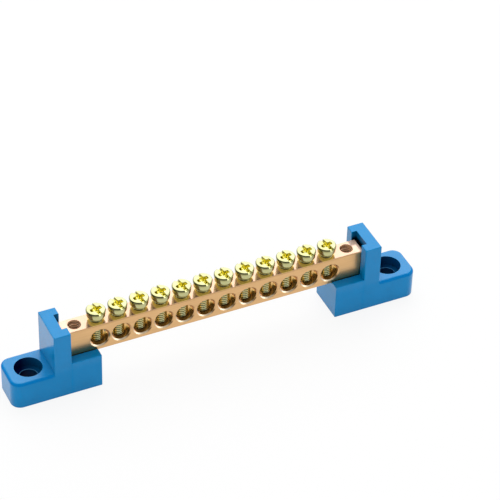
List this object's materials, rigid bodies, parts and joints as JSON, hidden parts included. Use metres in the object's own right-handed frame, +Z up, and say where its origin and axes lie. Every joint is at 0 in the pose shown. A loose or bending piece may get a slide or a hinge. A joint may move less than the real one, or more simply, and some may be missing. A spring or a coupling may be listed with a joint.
{
  "type": "neutral terminal bar",
  "caption": "Cross-drilled brass terminal bar with a row of slotted clamp screws, held at both ends by blue moulded corner holders with counterbored mounting feet.",
  "frame": {"origin": "on the mounting plane, under the middle of the bar", "axes": "+X along the bar to the right, +Y away from the side the wires enter from in the picture, +Z up, out of the mounting plane"},
  "size_m": [0.126, 0.0124, 0.0231],
  "materials": {
    "bar_brass": "drawn brass, lightly polished, fine drawing lines along the bar",
    "yellow_zinc": "steel, yellow passivated zinc plating",
    "blue_plastic": "moulded polyamide, satin",
    "white_zinc": "steel, bright zinc plating"
  },
  "bodies": {
    "bar_on_holders": {"terminal_bar": "bar_brass", "holder_left": "blue_plastic", "holder_right": "blue_plastic", "fixing_screw_left": "white_zinc", "fixing_screw_right": "white_zinc"},
    "screw_01": {"clamp_screw_01": "yellow_zinc"},
    "screw_02": {"clamp_screw_02": "yellow_zinc"},
    "screw_03": {"clamp_screw_03": "yellow_zinc"},
    "screw_04": {"clamp_screw_04": "yellow_zinc"},
    "screw_05": {"clamp_screw_05": "yellow_zinc"},
    "screw_06": {"clamp_screw_06": "yellow_zinc"},
    "screw_07": {"clamp_screw_07": "yellow_zinc"},
    "screw_08": {"clamp_screw_08": "yellow_zinc"},
    "screw_09": {"clamp_screw_09": "yellow_zinc"},
    "screw_10": {"clamp_screw_10": "yellow_zinc"},
    "screw_11": {"clamp_screw_11": "yellow_zinc"},
    "screw_12": {"clamp_screw_12": "yellow_zinc"}
  },
  "joints": [
    {"name": "clamp_screw_01_travel", "type": "slide", "parent": "bar_on_holders", "child": "screw_01", "axis": [0, 0, 1], "range_m": [0, 0.0051]},
    {"name": "clamp_screw_02_travel", "type": "slide", "parent": "bar_on_holders", "child": "screw_02", "axis": [0, 0, 1], "range_m": [0, 0.0051]},
    {"name": "clamp_screw_03_travel", "type": "slide", "parent": "bar_on_holders", "child": "screw_03", "axis": [0, 0, 1], "range_m": [0, 0.0051]},
    {"name": "clamp_screw_04_travel", "type": "slide", "parent": "bar_on_holders", "child": "screw_04", "axis": [0, 0, 1], "range_m": [0, 0.0051]},
    {"name": "clamp_screw_05_travel", "type": "slide", "parent": "bar_on_holders", "child": "screw_05", "axis": [0, 0, 1], "range_m": [0, 0.0051]},
    {"name": "clamp_screw_06_travel", "type": "slide", "parent": "bar_on_holders", "child": "screw_06", "axis": [0, 0, 1], "range_m": [0, 0.0051]},
    {"name": "clamp_screw_07_travel", "type": "slide", "parent": "bar_on_holders", "child": "screw_07", "axis": [0, 0, 1], "range_m": [0, 0.0051]},
    {"name": "clamp_screw_08_travel", "type": "slide", "parent": "bar_on_holders", "child": "screw_08", "axis": [0, 0, 1], "range_m": [0, 0.0051]},
    {"name": "clamp_screw_09_travel", "type": "slide", "parent": "bar_on_holders", "child": "screw_09", "axis": [0, 0, 1], "range_m": [0, 0.0051]},
    {"name": "clamp_screw_10_travel", "type": "slide", "parent": "bar_on_holders", "child": "screw_10", "axis": [0, 0, 1], "range_m": [0, 0.0051]},
    {"name": "clamp_screw_11_travel", "type": "slide", "parent": "bar_on_holders", "child": "screw_11", "axis": [0, 0, 1], "range_m": [0, 0.0051]},
    {"name": "clamp_screw_12_travel", "type": "slide", "parent": "bar_on_holders", "child": "screw_12", "axis": [0, 0, 1], "range_m": [0, 0.0051]}
  ]
}
